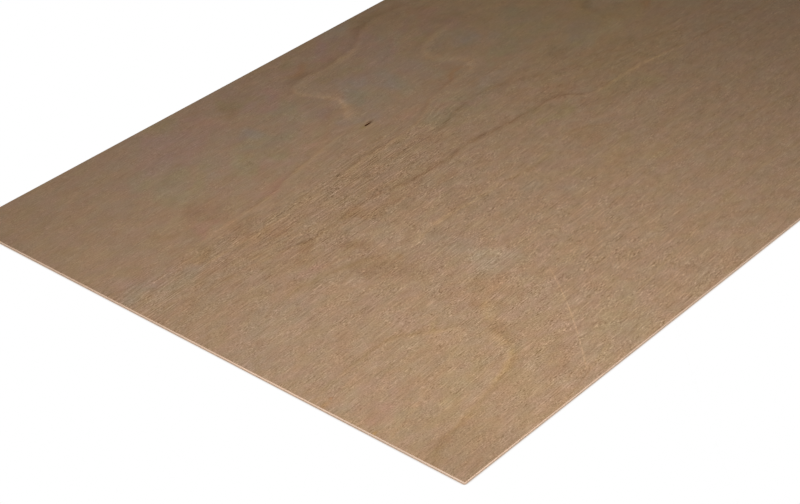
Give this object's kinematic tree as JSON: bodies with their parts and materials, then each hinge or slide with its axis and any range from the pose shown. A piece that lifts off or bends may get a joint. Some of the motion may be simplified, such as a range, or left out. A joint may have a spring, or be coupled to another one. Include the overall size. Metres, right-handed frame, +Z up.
{
  "type": "plywood sheet",
  "caption": "Flat rectangular sheet of thin plywood, laid face up: thin long-grain face and back veneers glued to a thicker cross-grain core, with one small open grain pocket in the face.",
  "frame": {"origin": "middle of the underside, where the sheet rests on a level floor", "axes": "+X along the length and the grain of the face, +Y across the sheet, +Z up out of the face veneer"},
  "size_m": [2.4384, 1.2192, 0.0052],
  "materials": {
    "face_veneer": "rotary-cut tropical hardwood veneer, sanded, unfinished, pinkish brown with olive and grey zones",
    "core_veneer": "pale cross-grain veneer, seen only at the sawn edges and in the pocket",
    "back_veneer": "rotary-cut hardwood veneer, sanded lightly, unfinished"
  },
  "bodies": {
    "root": {"back_veneer": "back_veneer", "core_veneer": "core_veneer", "face_veneer": "face_veneer"}
  },
  "joints": []
}
